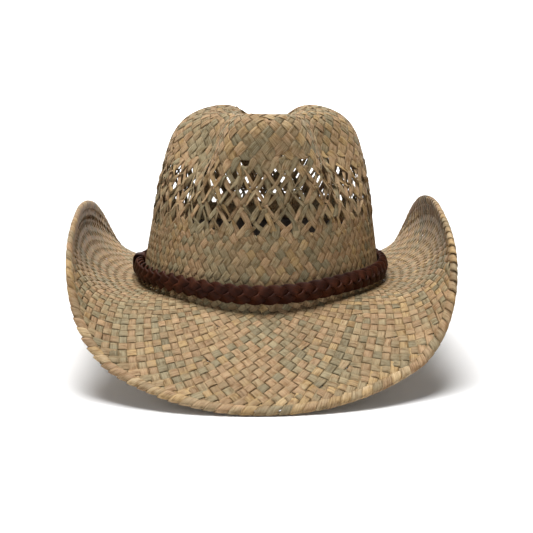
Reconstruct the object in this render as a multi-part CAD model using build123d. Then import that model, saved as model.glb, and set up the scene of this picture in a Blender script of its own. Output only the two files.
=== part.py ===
"""Woven straw cowboy hat: one open-work straw body, a braided leather hat band that lifts off,
a wired brim edge and a cloth sweatband. Millimetres, +Z up, the front of the hat towards -Y.

The straw body is one continuous weave. It is cut here into the zones that are woven in
different ways: the close crown tip, the open vent band, the close side wall, the brim, and
the border that is folded back along the brim's edge.
"""
from build123d import *
import math
import os

# ---- crown -------------------------------------------------------------------------------
BASE_HALF_WIDTH = 87.5       # oval at the foot of the crown, middle of the straw, along X
BASE_HALF_LENGTH = 104.0     # the same along Y
STRAW = 2.0                  # thickness of the two woven layers
WALL_HEIGHT = 90.0           # straight, tapering part of the crown wall
WALL_TAPER = 0.838           # size of the oval at that height, against the foot
WALL_POWER = 1.15            # the taper grows with this power of the height
CROWN_HEIGHT = 129.5         # top of the crown before it is creased
SHOULDER_PULL = (0.765, 119.0)   # control points of the shoulder's curve: size, height
TOP_PULL = (0.65, 130.0)
FRONT_SHOULDER_PULL = (0.785, 137.0)     # the same in front, where the crown stays upright
FRONT_TOP_PULL = (0.80, 124.0)
FRONT_FROM = 0.25            # the front's curve takes over from this share of the way forwards
FRONT_BLEND = 0.65
FRONT_END = (0.76, 0.14)     # and gives way again towards the crown's centre: from, over
CROWN_LEAN = 0.035           # the crown leans towards +X by this share of its height
VENT_BOTTOM = 48.0           # the open-work band lies between these heights
VENT_TOP = 90.0
CENTRE_SHARE = 0.996         # the last of the section is a small disc, where the weave starts

CREASE_DEPTH = 20.0          # the crease from front to back along the top
CREASE_WIDTH = 18.0
CREASE_X = 2.0               # it runs a little to the wearer's left
CREASE_FRONT = (-84.0, 63.0)     # where it starts to sink behind the front, and over what length
CREASE_REAR = (84.0, 46.0)
PINCH_TOP = (36.0, -63.0, 116.0)     # the two finger dents beside the front panel: line of each
PINCH_FOOT = (64.0, -67.0, 74.0)
PINCH_DEPTH = 31.0
PINCH_INNER = 13.0           # spread of a dent towards the front panel: a steep side
PINCH_OUTER = 48.0           # and away from it: a gentle side
PINCH_BLEND = 30.0           # distance across which one spread turns into the other
PINCH_FADE_TOP = -1.0        # a dent fades out past these shares of its line
PINCH_FADE_FOOT = (0.15, 1.4)
PINCH_PUSH = (-0.15, 1.0, -0.12)     # direction in which the straw is pushed in

# ---- brim --------------------------------------------------------------------------------
BRIM_SIDE = 83.0             # width of the brim at the sides, the front and the rear
BRIM_FRONT = 96.0
BRIM_REAR = 93.0
ROLL_START = 82.5            # the sides roll up outside this distance from the middle
ROLL_START_GROWTH = 5.0
ROLL_ANGLE = 112.0           # turn of the straw from the roll's start to the edge
ROLL_SKEW = 3.0              # the right side is rolled this much further, the left less
ROLL_FADE_FRONT = 160.0      # the roll fades out towards the front and the rear
ROLL_FADE_REAR = 168.0
ROLL_FADE_POWER = 3.0
ROLL_POWER = 1.2
DROOP_START_FRONT = 67.0     # the front and the rear bend down outside these distances
DROOP_START_REAR = 80.0
DROOP_ANGLE_FRONT = 31.0
DROOP_ANGLE_REAR = 36.5
DROOP_LENGTH = 63.0
BRIM_CLEARANCE = 0.05        # between the brim's inner end and the crown's wall
BORDER_START = 0.865         # the folded border begins at this share of the brim's width
BORDER_END = 0.955
BORDER_THICKNESS = 3.0
EDGE_HEIGHT = 4.4            # rolled edge around the wire
EDGE_REACH = 4.2
WIRE_RADIUS = 0.8

# ---- sweatband ---------------------------------------------------------------------------
SWEATBAND_HEIGHT = 32.0
SWEATBAND_THICKNESS = 1.2
TAPE_HALF_ANGLE = 4.5        # the tape over the sweatband's joint, at the rear
TAPE_THICKNESS = 0.6
STITCH_COUNT = 90
STITCH_RADIUS = 0.35
STITCH_LENGTH = 3.4
STITCH_HEIGHT = 4.0          # above the foot of the crown

# ---- hat band ----------------------------------------------------------------------------
BAND_BOTTOM = 3.6            # above the foot of the crown
BAND_HEIGHT = 12.6
BAND_DEPTH = 6.4
BAND_GAP = 0.6               # clear of the straw, so that the band lifts off
BAND_CORNER = 2.0
KNOT_ANGLE = -92.0           # where the braid's ends are bound together, on the wearer's right
KNOT_HALF_ANGLE = 4.0
KNOT_GROWTH = 1.2            # how far the binding stands out over the braid

# ---- vents -------------------------------------------------------------------------------
VENTS_ROUND = 36
VENT_ROWS = (53.0, 63.5, 74.0, 84.5)
VENT_WIDTH = 4.4
VENT_HEIGHT = 9.0

SECTIONS = 24                # sections on each half of the hat, from front to rear
STEPS = 24                   # steps of the sums along a curved section


def ramp(value):
    """Rises smoothly from 0 to 1 as value does."""
    value = min(max(value, 0.0), 1.0)
    return value * value * (3 - 2 * value)


def swept(length, angle_at):
    """Runs and rises along a section of that length whose slope at share k is angle_at(k)."""
    run = 0.0
    rise = 0.0
    for step in range(STEPS):
        angle = angle_at((step + 0.5) / STEPS)
        run += math.cos(angle) * length / STEPS
        rise += math.sin(angle) * length / STEPS
    return run, rise


def bend(x, y):
    """Takes a point of the flat brim to its place on the shaped brim."""
    front = y < 0
    far = BASE_HALF_LENGTH + (BRIM_FRONT if front else BRIM_REAR)
    fade_at = ROLL_FADE_FRONT if front else ROLL_FADE_REAR
    start = ROLL_START + ROLL_START_GROWTH * (y / far) ** 2
    edge = (BASE_HALF_WIDTH + BRIM_SIDE) * math.sqrt(max(1 - (y / far) ** 2, 0.0))
    room = max(edge - start, 25.0)
    turn = ROLL_ANGLE + (ROLL_SKEW if x > 0 else -ROLL_SKEW)
    turn = math.radians(turn) * max(1 - (abs(y) / fade_at) ** ROLL_FADE_POWER, 0.0)
    length = max(abs(x) - start, 0.0)
    run, rise = swept(length, lambda k: turn * (length * k / room) ** ROLL_POWER)
    new_x = min(abs(x), start) + run

    droop_at = DROOP_START_FRONT if front else DROOP_START_REAR
    droop = math.radians(DROOP_ANGLE_FRONT if front else DROOP_ANGLE_REAR)
    beyond = max(abs(y) - droop_at, 0.0)
    run, fall = swept(beyond, lambda k: droop * ramp(beyond * k / DROOP_LENGTH))
    new_y = min(abs(y), droop_at) + run
    return Vector(math.copysign(new_x, x), math.copysign(new_y, y), rise - fall)


def brim_width(angle):
    far = BRIM_FRONT if math.cos(angle) > 0 else BRIM_REAR
    return BRIM_SIDE + (far - BRIM_SIDE) * math.cos(angle) ** 4


def brim_middle(angle, share):
    """Middle of the brim's straw: angle from the front, share from the crown to the edge."""
    sine = math.sin(angle)
    cosine = math.cos(angle)
    out = Vector(sine / BASE_HALF_WIDTH, -cosine / BASE_HALF_LENGTH, 0).normalized()
    foot = Vector(BASE_HALF_WIDTH * sine, -BASE_HALF_LENGTH * cosine, 0)
    flat = foot + out * brim_width(angle) * share
    return bend(flat.X, flat.Y)


def between(first, second, share):
    return tuple(a + (b - a) * share for a, b in zip(first, second))


def crown_meridian(share, front):
    """Size of the oval and height; share runs from the foot to the centre, front from 0 to 1."""
    up = share / 0.5
    if up < 1:
        return 1 - (1 - WALL_TAPER) * max(up, 0.0) ** WALL_POWER, WALL_HEIGHT * up
    k = up - 1
    shoulder = between(SHOULDER_PULL, FRONT_SHOULDER_PULL, front)
    top = between(TOP_PULL, FRONT_TOP_PULL, front)
    points = ((WALL_TAPER, WALL_HEIGHT), shoulder, top, (0.0, CROWN_HEIGHT))
    weights = ((1 - k) ** 3, 3 * k * (1 - k) ** 2, 3 * k * k * (1 - k), k ** 3)
    size = sum(w * p[0] for w, p in zip(weights, points))
    height = sum(w * p[1] for w, p in zip(weights, points))
    return size, height


def crease(point):
    """How far the crease along the top lowers a point of the open crown."""
    on_top = ramp((point.Z - 92.0) / 26.0)
    from_front = ramp((point.Y - CREASE_FRONT[0]) / CREASE_FRONT[1])
    from_rear = ramp((CREASE_REAR[0] - point.Y) / CREASE_REAR[1])
    across = math.exp(-((point.X - CREASE_X) / CREASE_WIDTH) ** 2)
    return CREASE_DEPTH * on_top * from_front * from_rear * across


def pinch(point, side):
    """How far a finger dent moves a point of the open crown."""
    top = Vector(side * PINCH_TOP[0], PINCH_TOP[1], PINCH_TOP[2])
    foot = Vector(side * PINCH_FOOT[0], PINCH_FOOT[1], PINCH_FOOT[2])
    line = foot - top
    along = (point - top).dot(line) / line.dot(line)
    away = point - (top + line * along)
    outwards = (away.X * side + away.Y) * 0.7 / PINCH_BLEND
    spread = PINCH_INNER + (PINCH_OUTER - PINCH_INNER) * ramp(0.5 + outwards)
    fade_from, fade_to = PINCH_FADE_FOOT
    depth = PINCH_DEPTH * ramp(1 - along / PINCH_FADE_TOP)
    depth *= 1 - ramp((along - fade_from) / (fade_to - fade_from))
    push = Vector(side * PINCH_PUSH[0], PINCH_PUSH[1], PINCH_PUSH[2]).normalized()
    return push * depth * math.exp(-(away.length / spread) ** 2)


def crown_middle(angle, share):
    """Middle of the crown's straw: angle from the front, share from the foot to the centre."""
    front = ramp((math.cos(angle) - FRONT_FROM) / FRONT_BLEND)
    front *= 1 - ramp((share - FRONT_END[0]) / FRONT_END[1])
    size, height = crown_meridian(share, front)
    foot = brim_middle(angle, 0.0)
    x = BASE_HALF_WIDTH * math.sin(angle) * size
    y = -BASE_HALF_LENGTH * math.cos(angle) * size
    y += (foot.Y + BASE_HALF_LENGTH * math.cos(angle)) * max(1 - share / 0.5, 0.0) ** 2
    height += foot.Z * max(1 - share / 0.5, 0.0) ** 2
    point = Vector(x, y, height)
    moved = point - Vector(0, 0, crease(point)) + pinch(point, 1) + pinch(point, -1)
    return moved + Vector(CROWN_LEAN * moved.Z, 0, 0)


def offset_point(middle, angle, share, distance):
    """The point at that distance from the middle surface, outwards on the crown, up on the brim."""
    step = 0.002
    around = middle(angle + step, share) - middle(angle - step, share)
    along = middle(angle, share + step) - middle(angle, share - step)
    normal = around.cross(along).normalized()
    point = middle(angle, share) + normal * distance
    if abs(math.sin(angle)) < 1e-6:
        lean = CROWN_LEAN if middle is crown_middle else 0.0
        point = Vector(lean * point.Z, point.Y, point.Z)
    return point


def crown_line(angle, low, high, distance, count):
    """Points up the crown at one angle."""
    shares = [low + (high - low) * i / (count - 1) for i in range(count)]
    return [offset_point(crown_middle, angle, share, distance) for share in shares]


def brim_line(angle, low, high, distance, count):
    """Points out along the brim at one angle."""
    shares = [low + (high - low) * i / (count - 1) for i in range(count)]
    return [offset_point(brim_middle, angle, share, distance) for share in shares]


def wall_share(height):
    """Share of the crown's section at that height on the straight wall."""
    return 0.5 * height / WALL_HEIGHT


def closed_wire(sides):
    """A closed section from its sides, each a list of points that ends where the next starts."""
    edges = []
    for side in sides:
        if len(side) == 2:
            edges.append(Edge.make_line(side[0], side[1]))
        else:
            edges.append(Edge.make_spline(side))
    return Wire(edges)


def half_ring(section, first, last, count):
    """A solid through the sections at evenly spaced angles, in degrees, from first to last."""
    wires = []
    for i in range(count + 1):
        angle = math.radians(first + (last - first) * i / count)
        wires.append(closed_wire(section(angle)))
    return Solid.make_loft(wires)


def ring(section):
    """The right and the left half of a ring around the hat, joined at the front and the rear."""
    right = half_ring(section, 0, 180, SECTIONS)
    left = half_ring(section, 0, -180, SECTIONS)
    return right.fuse(left)


def strip_section(outer, inner):
    """The four sides of a section between two lines of points that run the same way."""
    back = list(reversed(inner))
    return [outer, [outer[-1], back[0]], back, [back[-1], outer[0]]]


HALF = STRAW / 2
VENT_LOW = wall_share(VENT_BOTTOM)
VENT_HIGH = wall_share(VENT_TOP)


def tip_section(angle):
    outer = crown_line(angle, VENT_HIGH, CENTRE_SHARE, HALF, 15)
    inner = crown_line(angle, VENT_HIGH, CENTRE_SHARE, -HALF, 15)
    return strip_section(outer, inner)


def vent_section(angle):
    outer = crown_line(angle, VENT_LOW, VENT_HIGH, HALF, 5)
    inner = crown_line(angle, VENT_LOW, VENT_HIGH, -HALF, 5)
    return strip_section(outer, inner)


def wall_section(angle):
    low = wall_share(-HALF)
    outer = crown_line(angle, low, VENT_LOW, HALF, 6)
    inner = crown_line(angle, low, VENT_LOW, -HALF, 6)
    return strip_section(outer, inner)


def brim_section(angle):
    """The brim starts at the outer face of the crown's wall."""
    start = (HALF + BRIM_CLEARANCE) / brim_width(angle)
    top = brim_line(angle, start, BORDER_START, HALF, 11)
    under = brim_line(angle, start, BORDER_START, -HALF, 11)
    return strip_section(top, under)


def border_section(angle):
    half = BORDER_THICKNESS / 2
    top = brim_line(angle, BORDER_START, BORDER_END, half, 4)
    under = brim_line(angle, BORDER_START, BORDER_END, -half, 4)
    return strip_section(top, under)


def edge_frame(angle):
    """Foot of the rolled edge, its direction away from the hat, and its upward direction."""
    foot = offset_point(brim_middle, angle, BORDER_END, 0.0)
    inside = offset_point(brim_middle, angle, BORDER_END - 0.02, 0.0)
    above = offset_point(brim_middle, angle, BORDER_END, 1.0)
    return foot, (foot - inside).normalized(), (above - foot).normalized()


def edge_section(angle):
    """A half round standing on the border's end."""
    foot, out, up = edge_frame(angle)
    half = EDGE_HEIGHT / 2
    round_side = []
    for i in range(9):
        turn = math.pi * (i / 8 - 0.5)
        round_side.append(foot + out * EDGE_REACH * math.cos(turn) + up * half * math.sin(turn))
    round_side[0] = foot - up * half
    round_side[-1] = foot + up * half
    return [round_side, [round_side[-1], round_side[0]]]


def wire_section(angle):
    """The steel wire inside the rolled edge, an eight-sided section."""
    foot, out, up = edge_frame(angle)
    centre = foot + out * EDGE_REACH * 0.45
    corners = []
    for i in range(8):
        turn = 2 * math.pi * (i + 0.5) / 8
        corners.append(centre + (out * math.cos(turn) + up * math.sin(turn)) * WIRE_RADIUS)
    return [[corner, corners[(i + 1) % 8]] for i, corner in enumerate(corners)]


def sweatband_section(angle):
    high = wall_share(SWEATBAND_HEIGHT)
    outer = crown_line(angle, 0.0, high, -HALF, 5)
    inner = crown_line(angle, 0.0, high, -HALF - SWEATBAND_THICKNESS, 5)
    return strip_section(outer, inner)


def upright_line(angle, low, high, distance, count):
    """Points up the wall in one upright plane square to the oval, so that an end stays flat."""
    foot = Vector(BASE_HALF_WIDTH * math.sin(angle), -BASE_HALF_LENGTH * math.cos(angle), 0)
    out = Vector(foot.X / BASE_HALF_WIDTH ** 2, foot.Y / BASE_HALF_LENGTH ** 2, 0).normalized()
    points = []
    for point in crown_line(angle, wall_share(low), wall_share(high), distance, count):
        points.append(foot + out * (point - foot).dot(out) + Vector(0, 0, point.Z))
    return points, out


def tape_section(angle):
    face = -HALF - SWEATBAND_THICKNESS
    low = 1.5
    high = SWEATBAND_HEIGHT - 1.5
    outer, out = upright_line(angle, low, high, face, 5)
    inner = [point - out * TAPE_THICKNESS for point in outer]
    return strip_section(outer, inner)


def stitches():
    """Running stitches on the sweatband's face, one short thread each, all the way round."""
    face = -HALF - SWEATBAND_THICKNESS - STITCH_RADIUS
    share = wall_share(STITCH_HEIGHT)
    threads = []
    for i in range(STITCH_COUNT):
        turn = 360 * (i + 0.5) / STITCH_COUNT - 180
        if abs(abs(turn) - 180) < TAPE_HALF_ANGLE + 1.5:
            continue
        angle = math.radians(turn)
        centre = offset_point(crown_middle, angle, share, face)
        ahead = offset_point(crown_middle, angle + 0.01, share, face)
        away = (ahead - centre).normalized()
        start = centre - away * STITCH_LENGTH / 2
        plane = Plane(origin=start, z_dir=away)
        threads.append(Solid.make_cylinder(STITCH_RADIUS, STITCH_LENGTH, plane))
    return Compound(children=threads)


def band_outline(angle, growth):
    """Section of the hat band: its inner side follows the crown's wall, its corners are cut."""
    low = BAND_BOTTOM - growth
    high = BAND_BOTTOM + BAND_HEIGHT + growth
    (foot, head), out = upright_line(angle, low, high, HALF + BAND_GAP, 2)
    reach = out * (BAND_DEPTH + growth)
    cut_out = out * BAND_CORNER
    cut_up = Vector(0, 0, BAND_CORNER)
    corners = [foot, foot + reach - cut_out, foot + reach + cut_up]
    corners += [head + reach - cut_up, head + reach - cut_out, head]
    return [[corner, corners[(i + 1) % 6]] for i, corner in enumerate(corners)]


def band_piece(first, last, growth, count):
    return half_ring(lambda angle: band_outline(angle, growth), first, last, count)


def vent_cutters():
    """A lozenge prism through the wall for each vent, the rows staggered by half a pitch."""
    prisms = []
    for row, height in enumerate(VENT_ROWS):
        for i in range(VENTS_ROUND):
            angle = 2 * math.pi * (i + 0.5 * (row % 2)) / VENTS_ROUND
            share = wall_share(height)
            inside = offset_point(crown_middle, angle, share, -4 * STRAW)
            outside = offset_point(crown_middle, angle, share, 4 * STRAW)
            through = outside - inside
            plane = Plane(origin=inside, x_dir=Vector(0, 0, 1).cross(through), z_dir=through)
            half_width = VENT_WIDTH / 2
            half_height = VENT_HEIGHT / 2
            corners = [(half_width, 0), (0, half_height), (-half_width, 0), (0, -half_height)]
            outline = Wire.make_polygon([plane.from_local_coords(c) for c in corners])
            prisms.append(Solid.extrude(Face(outline), through))
    return prisms


def crown_tip():
    centre = crown_middle(0.0, 1.0)
    hole_size, _ = crown_meridian(CENTRE_SHARE, 0.0)
    disc_radius = BASE_HALF_LENGTH * hole_size * 1.05
    plane = Plane(origin=centre - Vector(0, 0, HALF), z_dir=(0, 0, 1))
    disc = Solid.make_cylinder(disc_radius, STRAW, plane)
    return ring(tip_section).fuse(disc)


def build():
    wire = ring(wire_section)
    knot_from = KNOT_ANGLE - KNOT_HALF_ANGLE
    knot_to = KNOT_ANGLE + KNOT_HALF_ANGLE
    return {
        "crown_tip": crown_tip(),
        "crown_vent_band": ring(vent_section).cut(*vent_cutters()),
        "crown_side_wall": ring(wall_section),
        "brim": ring(brim_section),
        "brim_border": ring(border_section),
        "brim_edge_roll": ring(edge_section).cut(wire),
        "brim_edge_wire": wire,
        "sweatband": ring(sweatband_section),
        "sweatband_joint_tape": half_ring(tape_section, 180 - TAPE_HALF_ANGLE,
                                          180 + TAPE_HALF_ANGLE, 4),
        "sweatband_stitches": stitches(),
        "hat_band_braid": band_piece(knot_to, 90, 0.0, 24).fuse(
            band_piece(90, 360 + knot_from, 0.0, 24)),
        "hat_band_knot": band_piece(knot_from, knot_to, KNOT_GROWTH, 4),
    }


def main():
    shapes = build()
    boxes = [shape.bounding_box() for shape in shapes.values()]
    lowest = min(box.min.Z for box in boxes)
    middle = (min(box.min.Y for box in boxes) + max(box.max.Y for box in boxes)) / 2
    across = (min(box.min.X for box in boxes) + max(box.max.X for box in boxes)) / 2
    os.makedirs("parts", exist_ok=True)
    for name, shape in shapes.items():
        placed = shape.moved(Location((-across, -middle, -lowest)))
        export_step(placed, f"parts/{name}.step")
    print("origin moved by", round(-across, 3), round(-middle, 3), round(-lowest, 3))


main()
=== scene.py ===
"""Looks of a woven straw cowboy hat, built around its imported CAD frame.

The straw is real: every palm strip is a ribbon of its own that runs over and under the others.
The shape of the hat repeats the driving sizes of the CAD part, in millimetres; meshes are
written in metres, in the frame's place.
"""
import math

import bpy
import numpy as np
from mathutils import Matrix, Vector


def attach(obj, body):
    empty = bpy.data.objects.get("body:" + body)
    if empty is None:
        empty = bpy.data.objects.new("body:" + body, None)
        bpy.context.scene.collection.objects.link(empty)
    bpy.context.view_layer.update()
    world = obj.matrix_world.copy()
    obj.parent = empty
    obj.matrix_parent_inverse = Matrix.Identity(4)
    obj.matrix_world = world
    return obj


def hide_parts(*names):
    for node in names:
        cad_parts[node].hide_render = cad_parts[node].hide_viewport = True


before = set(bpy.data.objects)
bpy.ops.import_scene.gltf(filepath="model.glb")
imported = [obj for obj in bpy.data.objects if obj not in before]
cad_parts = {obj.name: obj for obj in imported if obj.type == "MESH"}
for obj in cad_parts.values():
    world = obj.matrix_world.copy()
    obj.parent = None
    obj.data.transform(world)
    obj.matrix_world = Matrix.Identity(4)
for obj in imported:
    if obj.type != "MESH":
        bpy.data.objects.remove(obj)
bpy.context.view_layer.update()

MM = 0.001
TURN = 2 * math.pi

# ---- shape of the hat, millimetres, as in the CAD part ----
BASE_HALF_WIDTH = 87.5
BASE_HALF_LENGTH = 104.0
WALL_HEIGHT = 90.0
WALL_TAPER = 0.838
WALL_POWER = 1.15
CROWN_HEIGHT = 129.5
SHOULDER_PULL = (0.765, 119.0)
TOP_PULL = (0.65, 130.0)
FRONT_SHOULDER_PULL = (0.785, 137.0)
FRONT_TOP_PULL = (0.80, 124.0)
FRONT_FROM = 0.25
FRONT_BLEND = 0.65
FRONT_END = (0.76, 0.14)
CROWN_LEAN = 0.035
VENT_BOTTOM = 48.0
VENT_TOP = 90.0

CREASE_DEPTH = 20.0
CREASE_WIDTH = 18.0
CREASE_X = 2.0
CREASE_FRONT = (-84.0, 63.0)
CREASE_REAR = (84.0, 46.0)
PINCH_TOP = (36.0, -63.0, 116.0)
PINCH_FOOT = (64.0, -67.0, 74.0)
PINCH_DEPTH = 31.0
PINCH_INNER = 13.0
PINCH_OUTER = 48.0
PINCH_BLEND = 30.0
PINCH_FADE_TOP = -1.0
PINCH_FADE_FOOT = (0.15, 1.4)
PINCH_PUSH = (-0.15, 1.0, -0.12)

BRIM_SIDE = 83.0
BRIM_FRONT = 96.0
BRIM_REAR = 93.0
ROLL_START = 82.5
ROLL_START_GROWTH = 5.0
ROLL_ANGLE = 112.0
ROLL_SKEW = 3.0
ROLL_FADE_FRONT = 160.0
ROLL_FADE_REAR = 168.0
ROLL_FADE_POWER = 3.0
ROLL_POWER = 1.2
DROOP_START_FRONT = 67.0
DROOP_START_REAR = 80.0
DROOP_ANGLE_FRONT = 31.0
DROOP_ANGLE_REAR = 36.5
DROOP_LENGTH = 63.0
EDGE_PLACE = 1.955  # where the brim's weave ends and its rolled edge begins
EDGE_REACH = 4.2
EDGE_HEIGHT = 4.4
FOOT_RADIUS = 4.0  # the straw turns from the crown into the brim in this bend
STEPS = 24

# ---- weave ----
TIP_PITCH = 8.4  # distance between crossings around the hat, by zone
WALL_PITCH = 6.5
EDGE_PITCH = 8.4
WALL_STRETCH = 1.38  # height of a wall cell against its width
VENT_STRIPS = 72
VENT_ROWS = 8
WALL_STRIPS = 88
CENTRE_PLACE = 0.006  # where the first strips start, beside the crown's centre
FIRST_PLACE = 0.05  # and where their first crossings are
WIDTH_LIMITS = (0.88, 1.06)  # of a strip, against the room it has
STRIP_THICKNESS = 0.40
WAVE = 0.36  # how far a strip rises over and dips under the middle surface
FLAT_WAVE = 0.8 * WAVE  # the same at the crown's centre and at the border
WAVE_STEEPNESS = 1.7
SUBSTEPS = 4


def ramp(value):
    """Rises smoothly from 0 to 1 as value does."""
    value = np.clip(value, 0.0, 1.0)
    return value * value * (3 - 2 * value)


def unit(vectors):
    return vectors / np.maximum(np.linalg.norm(vectors, axis=-1, keepdims=True), 1e-9)


def run_along(points):
    """Distance along a line of points, from its start."""
    return np.concatenate([[0], np.cumsum(np.linalg.norm(np.diff(points, axis=0), axis=1))])


def tube_faces(index, flip=False):
    """Quads between the rings of a tube, from the numbers of its points, ring by ring."""
    around = np.roll(index, -1, 1)
    corners = [index[:-1], around[:-1], around[1:], index[1:]]
    if flip:
        corners[1:] = corners[:0:-1]
    return np.stack(corners, -1).reshape(-1, 4)


def tube_facts(run, second, third):
    """Facts for the points of a tube, ring by ring: the run, and two numbers more."""
    return np.stack(np.broadcast_arrays(run[:, None], second, third), -1).reshape(-1, 3)


def side_and_up(centre, normal):
    """Directions across a line and up from it, square to its run."""
    tangent = unit(np.gradient(centre, axis=0))
    across = unit(np.cross(normal, tangent))
    return across, np.cross(tangent, across)


def rounded_turn(turn, power):
    """Across and up of a circle that is squared up by a power."""
    cos, sin = np.cos(turn), np.sin(turn)
    return np.sign(cos) * np.abs(cos) ** (2 / power), np.sign(sin) * np.abs(sin) ** (2 / power)


def swept(length, angle_at):
    """Runs and rises along sections of those lengths whose slope at share k is angle_at(k)."""
    run = 0.0
    rise = 0.0
    for step in range(STEPS):
        angle = angle_at((step + 0.5) / STEPS)
        run = run + np.cos(angle) * length / STEPS
        rise = rise + np.sin(angle) * length / STEPS
    return run, rise


def bend(x, y):
    """Takes points of the flat brim to their places on the shaped brim."""
    front = y < 0
    far = BASE_HALF_LENGTH + np.where(front, BRIM_FRONT, BRIM_REAR)
    fade_at = np.where(front, ROLL_FADE_FRONT, ROLL_FADE_REAR)
    start = ROLL_START + ROLL_START_GROWTH * (y / far) ** 2
    edge = (BASE_HALF_WIDTH + BRIM_SIDE) * np.sqrt(np.maximum(1 - (y / far) ** 2, 0.0))
    room = np.maximum(edge - start, 25.0)
    fade = np.maximum(1 - (np.abs(y) / fade_at) ** ROLL_FADE_POWER, 0.0)
    turn = np.radians(ROLL_ANGLE + np.where(x > 0, ROLL_SKEW, -ROLL_SKEW)) * fade
    length = np.maximum(np.abs(x) - start, 0.0)
    run, rise = swept(length, lambda k: turn * (length * k / room) ** ROLL_POWER)
    new_x = np.minimum(np.abs(x), start) + run

    droop_at = np.where(front, DROOP_START_FRONT, DROOP_START_REAR)
    droop = np.radians(np.where(front, DROOP_ANGLE_FRONT, DROOP_ANGLE_REAR))
    beyond = np.maximum(np.abs(y) - droop_at, 0.0)
    run, fall = swept(beyond, lambda k: droop * ramp(beyond * k / DROOP_LENGTH))
    new_y = np.minimum(np.abs(y), droop_at) + run
    return np.stack([np.sign(x) * new_x, np.sign(y) * new_y, rise - fall], -1)


def brim_width(angle):
    far = np.where(np.cos(angle) > 0, BRIM_FRONT, BRIM_REAR)
    return BRIM_SIDE + (far - BRIM_SIDE) * np.cos(angle) ** 4


def brim_middle(angle, share):
    sine = np.sin(angle)
    cosine = np.cos(angle)
    out_x = sine / BASE_HALF_WIDTH
    out_y = -cosine / BASE_HALF_LENGTH
    scale = brim_width(angle) * share / np.hypot(out_x, out_y)
    flat_x = BASE_HALF_WIDTH * sine + out_x * scale
    flat_y = -BASE_HALF_LENGTH * cosine + out_y * scale
    return bend(flat_x, flat_y)


def crown_meridian(share, front):
    up = share / 0.5
    k = np.clip((share - 0.5) / 0.5, 0.0, 1.0)
    weights = ((1 - k) ** 3, 3 * k * (1 - k) ** 2, 3 * k * k * (1 - k), k ** 3)
    shoulder = [a + (b - a) * front for a, b in zip(SHOULDER_PULL, FRONT_SHOULDER_PULL)]
    top = [a + (b - a) * front for a, b in zip(TOP_PULL, FRONT_TOP_PULL)]
    points = ((WALL_TAPER, WALL_HEIGHT), shoulder, top, (0.0, CROWN_HEIGHT))
    curve_size = sum(w * p[0] for w, p in zip(weights, points))
    curve_height = sum(w * p[1] for w, p in zip(weights, points))
    wall_size = 1 - (1 - WALL_TAPER) * np.maximum(up, 0.0) ** WALL_POWER
    size = np.where(share < 0.5, wall_size, curve_size)
    height = np.where(share < 0.5, WALL_HEIGHT * up, curve_height)
    return size, height


def crease(x, y, z):
    on_top = ramp((z - 92.0) / 26.0)
    from_front = ramp((y - CREASE_FRONT[0]) / CREASE_FRONT[1])
    from_rear = ramp((CREASE_REAR[0] - y) / CREASE_REAR[1])
    across = np.exp(-((x - CREASE_X) / CREASE_WIDTH) ** 2)
    return CREASE_DEPTH * on_top * from_front * from_rear * across


def pinch(point, side):
    mirror = np.array([side, 1.0, 1.0])
    top = np.array(PINCH_TOP) * mirror
    foot = np.array(PINCH_FOOT) * mirror
    push = np.array(PINCH_PUSH) * mirror
    line = foot - top
    along = (point - top) @ line / (line @ line)
    away = point - (top + line * along[..., None])
    outwards = (away[..., 0] * side + away[..., 1]) * 0.7 / PINCH_BLEND
    spread = PINCH_INNER + (PINCH_OUTER - PINCH_INNER) * ramp(0.5 + outwards)
    fade_from, fade_to = PINCH_FADE_FOOT
    depth = PINCH_DEPTH * ramp(1 - along / PINCH_FADE_TOP)
    depth = depth * (1 - ramp((along - fade_from) / (fade_to - fade_from)))
    depth = depth * np.exp(-(np.linalg.norm(away, axis=-1) / spread) ** 2)
    return depth[..., None] * push / np.linalg.norm(push)


def crown_middle(angle, share):
    front = ramp((np.cos(angle) - FRONT_FROM) / FRONT_BLEND)
    front = front * (1 - ramp((share - FRONT_END[0]) / FRONT_END[1]))
    size, height = crown_meridian(share, front)
    foot = brim_middle(angle, 0.0 * angle)
    low = np.maximum(1 - share / 0.5, 0.0) ** 2
    x = BASE_HALF_WIDTH * np.sin(angle) * size
    y = -BASE_HALF_LENGTH * np.cos(angle) * size
    y = y + (foot[..., 1] + BASE_HALF_LENGTH * np.cos(angle)) * low
    z = height + foot[..., 2] * low
    point = np.stack([x, y, z], -1)
    moved = point.copy()
    moved[..., 2] -= crease(x, y, z)
    moved = moved + pinch(point, 1) + pinch(point, -1)
    moved[..., 0] += CROWN_LEAN * moved[..., 2]
    return moved


def body(angle, place):
    """Middle of the straw: place 0 is the crown's centre, 1 its foot, 2 the brim's edge."""
    angle, place = np.broadcast_arrays(np.asarray(angle, float), np.asarray(place, float))
    width = brim_width(angle)
    crown_reach = FOOT_RADIUS * 0.5 / WALL_HEIGHT
    brim_reach = FOOT_RADIUS / width
    crown = crown_middle(angle, 1 - np.minimum(place, 1.0))
    brim = brim_middle(angle, np.maximum(place - 1, 0.0))
    point = np.where((place < 1)[..., None], crown, brim)
    before = crown_middle(angle, crown_reach + 0 * angle)
    corner = brim_middle(angle, 0 * angle)
    after = brim_middle(angle, brim_reach)
    past = place - 1
    tau = 0.5 + 0.5 * past / np.where(past < 0, crown_reach, brim_reach)
    t = np.clip(tau, 0, 1)[..., None]
    rounded = (1 - t) ** 2 * before + 2 * t * (1 - t) * corner + t * t * after
    inside = (tau > 0) & (tau < 1)
    return np.where(inside[..., None], rounded, point)


def body_frame(angle, place):
    """Points of the middle surface and their normals, outwards on the crown, up on the brim."""
    step = 0.003
    around = body(angle + step, place) - body(angle - step, place)
    along = body(angle, place + step) - body(angle, place - step)
    return body(angle, place), unit(np.cross(along, around))


def around_ring(angle, place):
    """Direction around the hat at points of the middle surface."""
    return unit(body(angle + 0.01, place) - body(angle - 0.01, place))


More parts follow.
